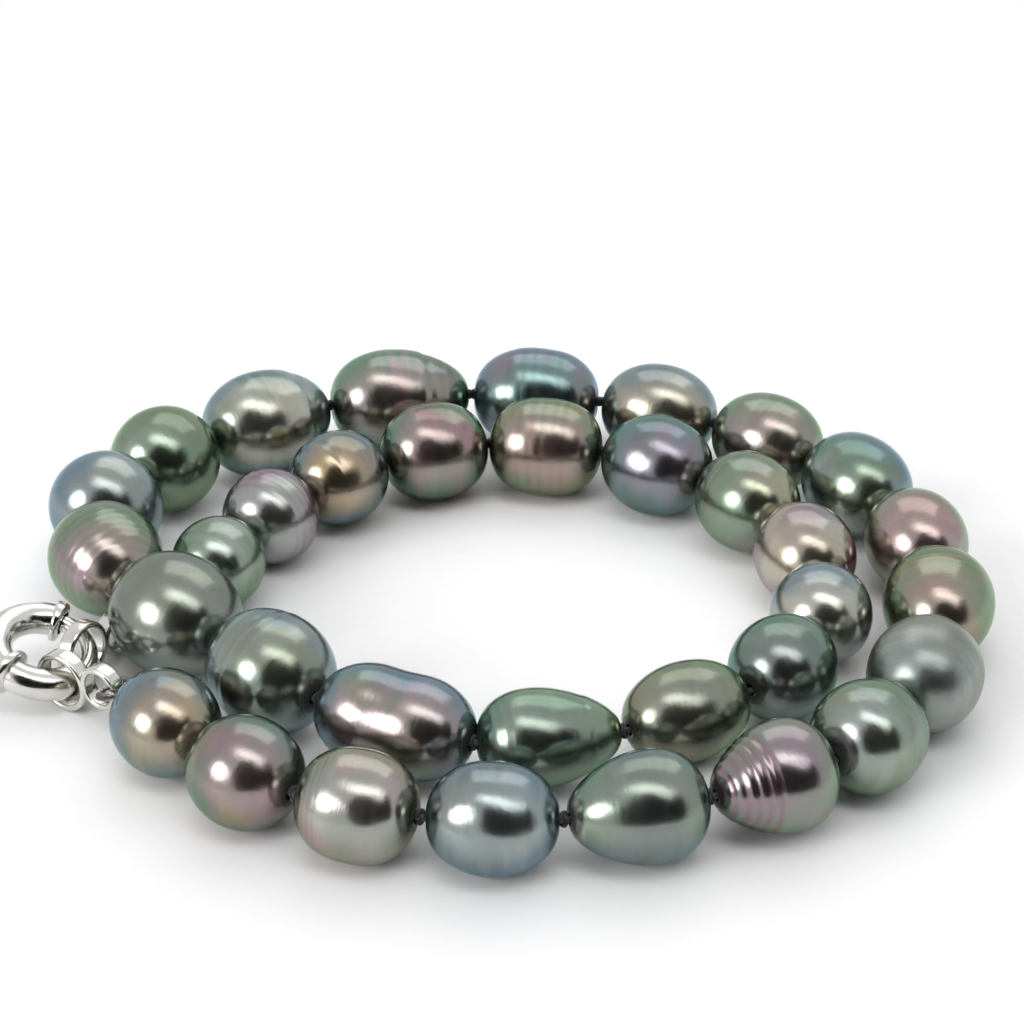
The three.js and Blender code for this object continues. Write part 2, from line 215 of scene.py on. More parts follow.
pearlLooks = [
    {"body": "sage", "belly": "blue", "blush": "peach", "glow": "blue", "pits": 1},
    {"body": "mauve", "belly": "bronze", "blush": "rose", "glow": "teal"},
    {"body": "grey", "belly": "rose", "blush": "silver", "glow": "sage", "lump": 0.035,
     "rings": 3, "ringDepth": 0.006, "ringFrom": -1.0, "ringTo": -0.35},
    {"body": "blue", "belly": "slate", "blush": "silver", "glow": "blue", "lump": 0.05},
    {"body": "slate", "belly": "green", "blush": "grey", "glow": "blue", "lump": 0.02,
     "collar": "cream", "collarAt": -0.88},
    {"body": "mauve", "belly": "grey", "blush": "mauve", "glow": "green",
     "ringShadeShare": 0.75, "ringShadeColour": "plum",
     "rings": 3, "ringDepth": 0.04, "ringFrom": -1.02, "ringTo": -0.12},
    {"body": "sage", "belly": "slate", "blush": "silver", "glow": "green",
     "rings": 2, "ringDepth": 0.012, "ringFrom": 0.35, "ringTo": 0.9, "step": 0.02, "stepAt": 0.4},
    {"body": "grey", "belly": "silver", "blush": "slate", "glow": "grey", "pits": 3, "satin": 1},
    {"body": "green", "belly": "bronze", "blush": "rose", "glow": "green",
     "rings": 4, "ringDepth": 0.006, "ringFrom": -0.2, "ringTo": 0.8},
    {"body": "silver", "belly": "rose", "blush": "rose", "glow": "green"},
    {"body": "silver", "belly": "teal", "blush": "sage", "glow": "blue"},
    {"body": "grey", "belly": "green", "blush": "rose", "glow": "green", "lump": 0.02},
    {"body": "silver", "belly": "grey", "blush": "champagne", "glow": "blue"},
    {"body": "mauve", "belly": "blue", "blush": "teal", "glow": "blue", "lump": 0.025,
     "rings": 3, "ringDepth": 0.004, "ringFrom": -0.6, "ringTo": 0.6},
    {"body": "slate", "belly": "teal", "blush": "rose", "glow": "green", "lump": 0.02,
     "step": 0.03, "stepAt": -0.35, "rings": 2, "ringDepth": 0.005, "ringFrom": -0.9, "ringTo": -0.2},
    {"body": "silver", "belly": "teal", "blush": "cream", "glow": "blue",
     "step": 0.03, "stepAt": -0.45},
    {"body": "silver", "belly": "sage", "blush": "green", "glow": "green"},
    {"body": "silver", "belly": "blue", "blush": "grey", "glow": "blue", "lump": 0.02,
     "rings": 3, "ringDepth": 0.005, "ringFrom": -0.9, "ringTo": -0.2},
    {"body": "green", "belly": "mauve", "blush": "rose", "glow": "green",
     "rings": 4, "ringDepth": 0.006, "ringFrom": -0.2, "ringTo": 0.9},
    {"body": "grey", "belly": "sage", "blush": "grey", "glow": "slate", "lump": 0.0},
    {"body": "grey", "belly": "silver", "blush": "sage", "glow": "blue",
     "step": 0.02, "stepAt": -0.1, "rings": 2, "ringDepth": 0.004, "ringFrom": -0.5, "ringTo": 0.2},
    {"body": "blue", "belly": "green", "blush": "rose", "glow": "blue", "lump": 0.03, "pits": 2},
    {"body": "teal", "belly": "silver", "blush": "grey", "glow": "green",
     "step": 0.025, "stepAt": 0.5, "rings": 2, "ringDepth": 0.008, "ringFrom": -1.0, "ringTo": -0.5},
    {"body": "sage", "belly": "bronze", "blush": "grey", "glow": "green"},
    {"body": "slate", "belly": "grey", "blush": "slate", "glow": "teal", "pits": 1},
    {"body": "silver", "belly": "silver", "blush": "cream", "glow": "blue"},
    {"body": "silver", "belly": "cream", "blush": "champagne", "glow": "mauve"},
    {"body": "mauve", "belly": "champagne", "blush": "green", "glow": "green",
     "rings": 2, "ringDepth": 0.004, "ringFrom": 0.0, "ringTo": 0.7},
    {"body": "slate", "belly": "blue", "blush": "mauve", "glow": "teal", "lump": 0.05, "pits": 2},
    {"body": "sage", "belly": "bronze", "blush": "rose", "glow": "green",
     "rings": 3, "ringDepth": 0.003, "ringFrom": -0.6, "ringTo": 0.6},
    {"body": "teal", "belly": "plum", "blush": "rose", "glow": "green"},
    {"body": "sage", "belly": "slate", "blush": "peach", "glow": "blue", "lump": 0.02,
     "step": 0.02, "stepAt": 0.4},
    {"body": "silver", "belly": "mauve", "blush": "silver", "glow": "mauve",
     "rings": 3, "ringDepth": 0.004, "ringFrom": -0.5, "ringTo": 0.6},
    {"body": "silver", "belly": "green", "blush": "silver", "glow": "green"},
]
pearlShapes = {  # the bellies that are not plain, numbered along the strand
    3: {"fullness": 2.4}, 5: {"taper": 0.22}, 6: {"taper": 0.3}, 7: {"taper": -0.1}, 9: {"taper": 0.08},
    14: {"fullness": 2.3}, 15: {"taper": 0.14}, 16: {"taper": 0.08}, 19: {"taper": -0.1},
    21: {"fullness": 2.2}, 22: {"fullness": 2.5, "waist": 0.07}, 23: {"taper": -0.26},
    30: {"fullness": 2.6}, 31: {"fullness": 2.25},
}
nacreSettings = {
    "rough": 0.19, "metal": 0.96, "coat": 0.45, "coatRough": 0.14, "coatBend": 1.6,
    "orient": 0.5, "orientFrom": 0.08, "orientTo": 0.5,
    "seedStep": (13.7, 5.1, 0), "stretch": (1.6, 0.35, 0.35), "sheenShift": (31.0, 7.0, 3.0),
    "bands": 0.55, "clouds": 0.14, "fine": 2.2, "sheen": 0.17, "ripples": 0.9, "hairs": 1.6,
    "cloudEdge": (0.36, 0.62), "bandEdge": (0.35, 0.7), "sheenEdge": (0.46, 0.62),
    "fineEdge": (0.35, 0.75), "mouthEdge": (0.975, 0.995), "collarSoft": 0.04,
    "blushShare": 0.4, "sheenShare": 0.6, "fineShare": 0.1, "holeShadeShare": 0.6, "collarShare": 0.85,
    "grooveShadeShare": 0.25, "pitSize": 0.2, "pitEdge": (0.02, 0.06), "speckEdge": (0.8, 0.9),
    "speckShare": 0.3, "satinRough": 0.1, "satinCoat": 0.12, "bandRough": 0.06, "mouthRough": 0.3,
    "rippleHigh": 0.6, "hairHigh": 0.35, "fineHigh": 0.08, "pitDeep": 0.5,
    "relief": 0.35, "reliefDepth": 0.09, "glowScale": 2.4, "glowLift": 0.1,
}
pearlMesh = {
    "endRoom": 0.25, "around": 96, "along": 84, "boreSteps": 12, "bore": 1.2, "lumpSize": 5.5,
    "taperEvens": 0.55, "waistReach": 0.3, "ledgeSoft": 0.05, "ringFade": 0.15, "wobble": 0.5,
    "wobbleRun": 3, "wobbleScale": 1.3, "seedStep": 17, "ripple": 0.004, "rippleScale": 1.4,
}


def buildPearlTree():
    facts = pearlMesh
    plain = "Width Length Taper Fullness Waist Lump Rings RingDepth RingFrom RingTo Step StepAt Seed"
    inputs = {**{word: "Float" for word in plain.split()}, "Finish": "Material"}
    tree, bench, given = newTree("pearl", inputs)
    factor = bench.get(bench.add("GeometryNodeSplineParameter"), "Factor")

    def stored(geometry, label, value, kind="FLOAT"):
        settings = {"data_type": kind, "domain": "POINT"}
        sockets = {"Geometry": geometry, "Name": label, "Value": value}
        return bench.add("GeometryNodeStoreNamedAttribute", settings, sockets).outputs[0]

    def read(label):
        node = bench.add("GeometryNodeInputNamedAttribute", {"data_type": "FLOAT"}, {"Name": label})
        return bench.get(node)

    loops = []
    for label, count in (("turnShare", facts["around"]), ("routeShare", facts["along"])):
        circle = bench.add("GeometryNodeCurvePrimitiveCircle", None, {"Resolution": count, "Radius": 1.0})
        loops.append(stored(circle.outputs[0], label, factor))
    skin = bench.add("GeometryNodeCurveToMesh", None, {"Curve": loops[0], "Profile Curve": loops[1]})
    turn, route = read("turnShare") * fullTurn, read("routeShare")

    # the route runs along the outside from hole to hole, then back through the bore
    outside = 1 - facts["boreSteps"] / facts["along"]
    over = bench.maths("MINIMUM", route / outside, 1.0)
    back = bench.maths("MAXIMUM", (route - outside) / (1 - outside), 0.0)
    skinPlace = -1 * bench.maths("COSINE", over * math.pi)
    place = skinPlace - 2 * back
    bulge = 1 - bench.maths("ABSOLUTE", skinPlace) ** given["Fullness"]
    bulge = bench.maths("SQRT", bench.maths("MAXIMUM", bulge, 0.0))
    evened = 1 + given["Taper"] * given["Taper"] * facts["taperEvens"]
    lean = (1 + given["Taper"] * skinPlace) / evened
    pinch = bench.maths("EXPONENT", -1 * (skinPlace / facts["waistReach"]) ** 2.0)
    pinch = 1 - given["Waist"] * pinch
    soft = facts["ledgeSoft"]
    ledge = bench.smooth(skinPlace, given["StepAt"] - soft, given["StepAt"] + soft)
    ledge = 1 + given["Step"] * (ledge - 0.5)
    share = (skinPlace - given["RingFrom"]) / (given["RingTo"] - given["RingFrom"])
    fade = facts["ringFade"]
    inRings = bench.smooth(share, 0.0, fade) * bench.smooth(share, 1 - fade, 1.0, 1.0, 0.0)
    drift = bench.add("ShaderNodeCombineXYZ", None, {0: skinPlace * facts["wobbleRun"], 1: given["Seed"]})
    wobble = bench.noise(drift.outputs[0], facts["wobbleScale"])
    wave = bench.maths("SINE", (share * given["Rings"] + wobble * facts["wobble"]) * fullTurn)
    groove = inRings * (wave ** 2.0)
    grooves = 1 - given["RingDepth"] * groove
    half = given["Width"] / 2 - facts["bore"] / 2
    belly = half * bulge * lean * pinch * ledge * grooves

    # the whole skin then swells and dips a little, more on a lumpy pearl
    cosine, sine = bench.maths("COSINE", turn), bench.maths("SINE", turn)
    alongHole = place * given["Length"] / 2
    sockets = {0: alongHole + given["Seed"] * facts["seedStep"], 1: belly * cosine, 2: belly * sine}
    even = bench.add("ShaderNodeCombineXYZ", None, sockets).outputs[0]
    swell = bench.noise(even, 1 / facts["lumpSize"], 1.0) - 0.5
    ripple = bench.noise(even, facts["rippleScale"], 2.0) - 0.5
    reach = facts["bore"] / 2 + belly * (1 + given["Lump"] * 2 * swell + facts["ripple"] * ripple)
    sockets = {0: alongHole, 1: reach * cosine, 2: reach * sine}
    spot = bench.add("ShaderNodeCombineXYZ", None, sockets).outputs[0]
    sockets = {"Geometry": skin.outputs[0], "Position": bench.scaled(spot, mm)}
    shaped = bench.add("GeometryNodeSetPosition", None, sockets)
    marked = stored(shaped.outputs[0], "nacrePlace", spot, "FLOAT_VECTOR")
    marked = stored(marked, "drillShare", skinPlace)
    marked = stored(marked, "grooveShadeShare", groove)
    endTree(bench, marked, given["Finish"])
    return tree


def newFinish(name):  # an empty material, and the bench to wire it on
    material = bpy.data.materials.new(name)
    material.use_nodes = True
    bench = Bench(material.node_tree)
    bench.tree.nodes.clear()
    return material, bench


def nacre(name, look, seed):
    facts = nacreSettings
    material, bench = newFinish(name)

    def tint(key):
        return (*tints[key], 1)

    def read(label, output="Fac"):
        return bench.get(bench.add("ShaderNodeAttribute", {"attribute_name": label}), output)

    share = read("drillShare")
    shift = tuple(seed * step for step in facts["seedStep"])
    here = bench.vector("ADD", read("nacrePlace", "Vector"), shift)
    stretched = bench.vector("MULTIPLY", here, facts["stretch"])  # bands run round the drill hole
    bands = bench.noise(stretched, facts["bands"], 3.0, 0.55)
    clouds = bench.noise(here, facts["clouds"], 2.0)
    fine = bench.noise(here, facts["fine"], 3.0, 0.6)
    sheen = bench.noise(bench.vector("ADD", here, facts["sheenShift"]), facts["sheen"], 1.0)

    # body and belly in clouds, blush in bands, glow in patches
    skin = bench.blended(bench.smooth(clouds, *facts["cloudEdge"]), tint(look["body"]), tint(look["belly"]))
    banded = bench.smooth(bands, *facts["bandEdge"]) * facts["blushShare"]
    skin = bench.blended(banded, skin, tint(look["blush"]))
    patched = bench.smooth(sheen, *facts["sheenEdge"]) * facts["sheenShare"]
    skin = bench.blended(patched, skin, tint(look["glow"]))
    # painted shade: each ring's groove is darkened as deep as it is cut, plum on one pearl and dark on the
    # rest
    if "rings" in look:
        paintedGrooveShade = read("grooveShadeShare") * look.get("ringShadeShare", facts["grooveShadeShare"])
        skin = bench.blended(paintedGrooveShade, skin, tint(look.get("ringShadeColour", "dark")))
    skin = bench.blended(bench.smooth(fine, *facts["fineEdge"]) * facts["fineShare"], skin, tint("dark"))
    if "collar" in look:
        low, high = look["collarAt"] - facts["collarSoft"], look["collarAt"] + facts["collarSoft"]
        edge = bench.smooth(share, low, high, facts["collarShare"], 0.0)
        skin = bench.blended(edge, skin, tint(look["collar"]))
    mouth = bench.smooth(bench.maths("ABSOLUTE", share), *facts["mouthEdge"])  # painted shade darkens the drill holes and their rims, which are also rougher
    skin = bench.blended(mouth * facts["holeShadeShare"], skin, tint("dark"))

    if look.get("pits"):
        sockets = {"Vector": here, "Scale": facts["pitSize"]}
        cells = bench.add("ShaderNodeTexVoronoi", {"feature": "F1"}, sockets)
        pits = bench.smooth(bench.get(cells, "Distance"), *facts["pitEdge"], 1.0, 0.0)
    else:
        pits = bench.smooth(fine, *facts["speckEdge"]) * facts["speckShare"]
    satin = look.get("satin", 0)
    ripples = bench.noise(here, facts["ripples"], 2.0) * facts["rippleHigh"]
    hairs = bench.noise(stretched, facts["hairs"], 2.0) * facts["hairHigh"]
    relief = ripples + hairs + fine * facts["fineHigh"] - pits * facts["pitDeep"]
    sockets = {"Strength": facts["relief"], "Distance": facts["reliefDepth"] * mm, "Height": relief}
    bump = bench.add("ShaderNodeBump", None, sockets)
    rough = facts["rough"] + facts["satinRough"] * satin
    rough = rough + facts["bandRough"] * bench.smooth(bands, 0.3, 0.7) + mouth * facts["mouthRough"]
    glow = [min(1, facts["glowScale"] * part + facts["glowLift"]) for part in tints[look["glow"]]]
    core = bench.blended(facts["orient"], skin, tint(look["blush"]))
    layers = [bench.add("ShaderNodeBsdfPrincipled", None, {
        "Base Color": colour, "Roughness": rough, "Metallic": facts["metal"], "Normal": bump.outputs[0],
        "Specular Tint": (*glow, 1), "Coat Weight": facts["coat"], "Coat IOR": facts["coatBend"],
        "Coat Roughness": facts["coatRough"] + facts["satinCoat"] * satin}) for colour in (core, skin)]
    facing = bench.get(bench.add("ShaderNodeLayerWeight", None, {"Blend": 0.5}), "Facing")
    gloss = bench.smooth(facing, facts["orientFrom"], facts["orientTo"])  # the orient shows head on
    sockets = {0: gloss, 1: layers[0].outputs[0], 2: layers[1].outputs[0]}
    shader = bench.add("ShaderNodeMixShader", None, sockets)
    bench.add("ShaderNodeOutputMaterial", None, {"Surface": shader.outputs[0]})
    return material


def cadSize(name, centre, axis):  # length along the drill hole and width across it, in millimetres
    along, across = [], []
    for vertex in frame["nodes"][name].data.vertices:
        arm = vertex.co - centre
        reach = arm.dot(axis)
        along.append(reach)
        across.append((arm - axis * reach).length)
    return (max(along) - min(along)) / mm, 2 * max(across) / mm


def turnedTo(axis, centre):  # local X along the axis, local Z as near up as it can be
    side = Vector((0, 0, 1)).cross(axis).normalized()
    up = axis.cross(side)
    turn = Matrix((axis, side, up)).transposed().to_4x4()
    return Matrix.Translation(centre) @ turn


def addPearls():
    tree = buildPearlTree()
    plainLook = {"lump": 0.012, "rings": 1, "ringDepth": 0.0, "ringFrom": -1.0, "ringTo": 1.0,
                 "step": 0.0, "stepAt": 0.0}
    plainShape = {"taper": 0.0, "fullness": 2.0, "waist": 0.0}
    for index, name in enumerate(pearlNames):
        look = {**plainLook, **pearlLooks[index]}
        shape = {**plainShape, **pearlShapes.get(index + 1, {})}
        centre, axis = jointPlace[name + "_turn"], jointAxis[name + "_turn"]
        length, width = cadSize(name, centre, axis)
        values = {"Width": width, "Length": length + 2 * pearlMesh["endRoom"], "Seed": float(index + 1),
                  "Rings": float(look["rings"]), "Finish": nacre("nacre" + name[-2:], look, index + 1)}
        for facts, key in ((look, "lump"), (look, "ringDepth"), (look, "ringFrom"), (look, "ringTo"),
                           (look, "step"), (look, "stepAt"), (shape, "taper"), (shape, "fullness"),
                           (shape, "waist")):
            values[key[0].upper() + key[1:]] = facts[key]
        mesh = grown(name + "_nacre", tree, values)
        mesh.transform(turnedTo(axis, centre))
        placed(name + "_nacre", mesh, name, [name])


addPearls()
print("stage: pearls strung")


silkSettings = {
    "cord": 0.34, "apart": 0.13, "lay": 1.1, "knot": 0.155, "knotCord": 0.25, "gap": 1.4,
    "stopShort": 1.0, "colour": (0.012, 0.011, 0.013), "sheen": (0.05, 0.048, 0.052),
    "sides": 8, "knotSides": 48, "knotDeep": -2.2, "perLength": 7,
    "fibres": 5200.0, "rough": 0.55, "fibreRough": 0.2, "fuzz": 0.4, "relief": 0.5, "reliefDepth": 0.04,
}


def silkFinish():
    facts = silkSettings
    material, bench = newFinish("knottedSilk")
    place = bench.add("ShaderNodeTexCoord").outputs["Object"]
    fibres = bench.noise(place, facts["fibres"], 3.0, 0.6)
    colour = bench.blended(bench.smooth(fibres, 0.35, 0.75), (*facts["colour"], 1), (*facts["sheen"], 1))
    sockets = {"Strength": facts["relief"], "Distance": facts["reliefDepth"] * mm, "Height": fibres}
    bump = bench.add("ShaderNodeBump", None, sockets)
    shader = bench.add("ShaderNodeBsdfPrincipled", None, {
        "Base Color": colour, "Roughness": facts["rough"] + facts["fibreRough"] * fibres,
        "Sheen Weight": facts["fuzz"], "Normal": bump.outputs[0]})
    bench.add("ShaderNodeOutputMaterial", None, {"Surface": shader.outputs[0]})
    return material


def twisted(bench, given, factor):  # the path, evenly pointed and turned about itself
    sockets = {"Curve": given["Geometry"], "Count": given["Points"]}
    route = bench.add("GeometryNodeResampleCurve", {"mode": "COUNT"}, sockets)
    sockets = {"Curve": route.outputs[0], "Tilt": factor * given["Turns"] * fullTurn}
    return bench.add("GeometryNodeSetCurveTilt", None, sockets).outputs[0]


def offCentre(bench, radius, sides, shift):  # a round section beside its path
    circle = bench.add("GeometryNodeCurvePrimitiveCircle", None, {"Resolution": sides, "Radius": radius})
    across = bench.add("ShaderNodeCombineXYZ", None, {0: shift}).outputs[0]
    sockets = {"Geometry": circle.outputs[0], "Translation": across}
    return bench.add("GeometryNodeTransform", None, sockets).outputs[0]


def swept(bench, path, section, capped=True):
    sockets = {"Curve": path, "Profile Curve": section, "Fill Caps": capped}
    return bench.add("GeometryNodeCurveToMesh", None, sockets).outputs[0]


def joined(bench, parts):
    node = bench.add("GeometryNodeJoinGeometry")
    for part in parts:
        bench.tree.links.new(part, node.inputs[0])
    return node.outputs[0]


def buildSilkTree():  # two plies twisted along a path, with a knot at each of its first points
    inputs = {"Cord": "Float", "Apart": "Float", "Turns": "Float", "Points": "Int", "Knots": "Int",
              "Knot": "Float", "KnotCord": "Float", "Finish": "Material"}
    facts = silkSettings
    tree, bench, given = newTree("silk", inputs)
    factor = bench.get(bench.add("GeometryNodeSplineParameter"), "Factor")
    plies = [offCentre(bench, given["Cord"] * mm / 2, facts["sides"], given["Apart"] * (side * mm))
             for side in (-1, 1)]
    cord = swept(bench, twisted(bench, given, factor), joined(bench, plies))

    # an overhand knot is a trefoil
    sockets = {"Resolution": facts["knotSides"], "Radius": 1.0}
    loop = bench.add("GeometryNodeCurvePrimitiveCircle", None, sockets)
    size = given["Knot"] * mm

    def wave(operation, times):
        return bench.maths(operation, factor * fullTurn * times)

    spot = bench.add("ShaderNodeCombineXYZ", None, {
        0: size * facts["knotDeep"] * wave("SINE", 3.0),
        1: size * (wave("SINE", 1.0) + 2 * wave("SINE", 2.0)),
        2: size * (wave("COSINE", 1.0) - 2 * wave("COSINE", 2.0))})
    sockets = {"Geometry": loop.outputs[0], "Position": spot.outputs[0]}
    tied = bench.add("GeometryNodeSetPosition", None, sockets)
    sockets = {"Resolution": facts["sides"], "Radius": given["KnotCord"] * mm}
    strand = bench.add("GeometryNodeCurvePrimitiveCircle", None, sockets)
    knot = swept(bench, tied.outputs[0], strand.outputs[0], False)
    sockets = {"Curve": given["Geometry"]}
    points = bench.add("GeometryNodeCurveToPoints", {"mode": "EVALUATED"}, sockets)
    index = bench.get(bench.add("GeometryNodeInputIndex"))
    knots = bench.add("GeometryNodeInstanceOnPoints", None, {
        "Points": points.outputs["Points"], "Instance": knot, "Rotation": points.outputs["Rotation"],
        "Selection": bench.maths("LESS_THAN", index, given["Knots"])})
    endTree(bench, joined(bench, (cord, knots.outputs[0])), given["Finish"])
    return tree


def pathCurve(name, points):
    curve = bpy.data.curves.new(name, "CURVE")
    curve.dimensions = "3D"
    spline = curve.splines.new("POLY")
    spline.points.add(len(points) - 1)
    for point, place in zip(spline.points, points):
        point.co = (*place, 1)
    return curve


def routeLength(points):
    return sum((second - first).length for first, second in zip(points, points[1:]))


def silkAlong(name, tree, finish, points, knots, thinned=1.0):
    length = routeLength(points) / mm
    values = {"Cord": silkSettings["cord"] * thinned, "Apart": silkSettings["apart"] * thinned,
              "Turns": length / silkSettings["lay"],
              "Points": int(length * silkSettings["perLength"]) + 2, "Knots": knots,
              "Knot": silkSettings["knot"],
              "KnotCord": silkSettings["knotCord"], "Finish": finish}
    return grown(name, tree, values, pathCurve(name + "Path", points))


def findKnots():  # midway between each two pearls' holes, and half a gap beyond the end ones
    ends = []
    for name in pearlNames:
        centre, axis = jointPlace[name + "_turn"], jointAxis[name + "_turn"]
        half = axis * cadSize(name, centre, axis)[0] * mm / 2
        ends.append((centre - half, centre + half, axis * silkSettings["gap"] * mm / 2))
    knots = [ends[0][0] - ends[0][2]]
    knots += [(before[1] + after[0]) / 2 for before, after in zip(ends, ends[1:])]
    return knots + [ends[-1][1] + ends[-1][2]]


def addSilk():
    tree, finish = buildSilkTree(), silkFinish()
    short = silkSettings["stopShort"] * mm
    links = sorted(name for name in frame["nodes"] if name.startswith("thread_link_"))
    for name in links:
        index = int(name[-2:])
        start, end = knots[index], knots[index - 1]
        if index > 1:
            end = end + (start - end).normalized() * short
        mesh = silkAlong(name + "_silk", tree, finish, [start, end], 2 if index == 1 else 1)
        placed(name + "_silk", mesh, "link_" + name[-2:], [name])
    settled = list(reversed(knots[len(links):]))
    settled[-1] = settled[-1] + (settled[-2] - settled[-1]).normalized() * short
    mesh = silkAlong("settled_silk", tree, finish, settled, len(settled) - 1)
    placed("settled_silk", mesh, "strand", ["thread_through_settled_pearls"])
    return tree, finish


knots = findKnots()
silkTree, silk = addSilk()
print("stage: silk knotted")


silverSettings = {
    "light": (0.72, 0.71, 0.67, 1), "dull": (0.5, 0.49, 0.455, 1), "dullShare": 0.5, "clouds": 420.0,
    "scratches": (900.0, 5200.0, 2600.0), "relief": 0.25, "reliefDepth": 0.03, "cloudHigh": 0.8,
}


def silverFinish(name, rough, wear):
    facts = silverSettings
    material, bench = newFinish(name)
    place = bench.add("ShaderNodeTexCoord").outputs["Object"]
    clouds = bench.noise(place, facts["clouds"], 2.0)
    scratches = bench.noise(bench.vector("MULTIPLY", place, facts["scratches"]), 1.0, 3.0, 0.65)
    dulled = bench.smooth(clouds, 0.35, 0.7) * facts["dullShare"]
    relief = scratches + clouds * facts["cloudHigh"]
    sockets = {"Strength": facts["relief"], "Distance": facts["reliefDepth"] * mm, "Height": relief}
    bump = bench.add("ShaderNodeBump", None, sockets)
    shader = bench.add("ShaderNodeBsdfPrincipled", None, {
        "Base Color": bench.blended(dulled, facts["light"], facts["dull"]), "Metallic": 1.0,
        "Normal": bump.outputs[0], "Roughness": rough + wear * bench.smooth(scratches, 0.3, 0.8)})
    bench.add("ShaderNodeOutputMaterial", None, {"Surface": shader.outputs[0]})
    return material


polished = silverFinish("polishedSilver", 0.1, 0.14)
drawn = silverFinish("drawnSilverWire", 0.2, 0.12)
sharpest = {"tube": 40, "flat": 50}  # degrees that still read as one smooth face
weldDistance = 1e-7


def creased(mesh, degrees):  # smooth but for edges sharper than this
    work = bmesh.new()
    work.from_mesh(mesh)
    bmesh.ops.remove_doubles(work, verts=work.verts, dist=weldDistance)
    bmesh.ops.recalc_face_normals(work, faces=work.faces)
    for face in work.faces:
        face.smooth = True
    for edge in work.edges:
        paired = len(edge.link_faces) == 2
        edge.smooth = paired and edge.calc_face_angle(0) < math.radians(degrees)
    work.to_mesh(mesh)
    work.free()
    return mesh


wireSettings = {"sides": 8, "perTurn": 14}


def coiledTree():  # wire coiled round a path
    inputs = {"Wire": "Float", "Reach": "Float", "Turns": "Float", "Points": "Int", "Finish": "Material"}
    tree, bench, given = newTree("coiledWire", inputs)
    factor = bench.get(bench.add("GeometryNodeSplineParameter"), "Factor")
    section = offCentre(bench, given["Wire"] * mm / 2, wireSettings["sides"], given["Reach"] * mm)
    endTree(bench, swept(bench, twisted(bench, given, factor), section), given["Finish"])
    return tree


def coiledWire(name, tree, points, wire, reach, pitch):
    turns = round(routeLength(points) / mm / pitch)
    values = {"Wire": wire, "Reach": reach, "Turns": float(turns),
              "Points": turns * wireSettings["perTurn"] + 1, "Finish": drawn}
    return grown(name, tree, values, pathCurve(name + "Path", points))


connectorSettings = {"largeEye": 6.0, "smallEye": 4.4, "wall": 0.6, "width": 1.6, "eyesJoin": 0.3,
                     "edge": 0.24, "edgeSteps": 4, "largeSteps": 72, "smallSteps": 56}
gimpSettings = {"width": 0.8, "wire": 0.2, "pitch": 0.21, "gap": 0.3, "knotReach": 0.7,
                "silkThinned": 0.6, "steps": 14}


def arcPoints(centre, radius, first, last, count):
    angles = [math.radians(first + (last - first) * i / count) for i in range(count + 1)]
    return [(centre + radius * math.cos(angle), radius * math.sin(angle)) for angle in angles]


def connectorMesh(name):  # two eyes in one flat outline, extruded and rounded
    facts = connectorSettings
    large, small = facts["largeEye"] / 2, facts["smallEye"] / 2
    apart = large + small - facts["eyesJoin"]
    meet = (apart ** 2 + large ** 2 - small ** 2) / (2 * apart)
    high = math.sqrt(large ** 2 - meet ** 2)
    fromLarge = math.degrees(math.atan2(high, meet))
    fromSmall = math.degrees(math.atan2(high, meet - apart))
    largeSteps, smallSteps, wall = facts["largeSteps"], facts["smallSteps"], facts["wall"]
    outline = arcPoints(0, large, fromLarge, 360 - fromLarge, largeSteps)[:-1]
    outline += arcPoints(apart, small, -fromSmall, fromSmall, smallSteps)[:-1]
    holes = [arcPoints(0, large - wall, 0, 360, largeSteps)[:-1],
             arcPoints(apart, small - wall, 0, 360, smallSteps)[:-1]]
    curve = bpy.data.curves.new(name, "CURVE")
    curve.dimensions = "2D"
    curve.fill_mode = "BOTH"
    for loop in [outline, *holes]:
        spline = curve.splines.new("POLY")
        spline.points.add(len(loop) - 1)
        for point, (x, y) in zip(spline.points, loop):
            point.co = (x * mm, y * mm, 0, 1)
        spline.use_cyclic_u = True
    curve.bevel_depth = facts["edge"] * mm
    curve.bevel_resolution = facts["edgeSteps"]
    curve.offset = -facts["edge"] * mm
    curve.extrude = (facts["width"] / 2 - facts["edge"]) * mm
    holder = bpy.data.objects.new(name + "Outline", curve)
    bpy.context.scene.collection.objects.link(holder)
    graph = bpy.context.evaluated_depsgraph_get()
    mesh = bpy.data.meshes.new_from_object(holder.evaluated_get(graph), depsgraph=graph)
    bpy.data.objects.remove(holder)
    mesh.name = name
    mesh.materials.clear()
    mesh.materials.append(polished)
    return creased(mesh, sharpest["flat"]), apart * mm


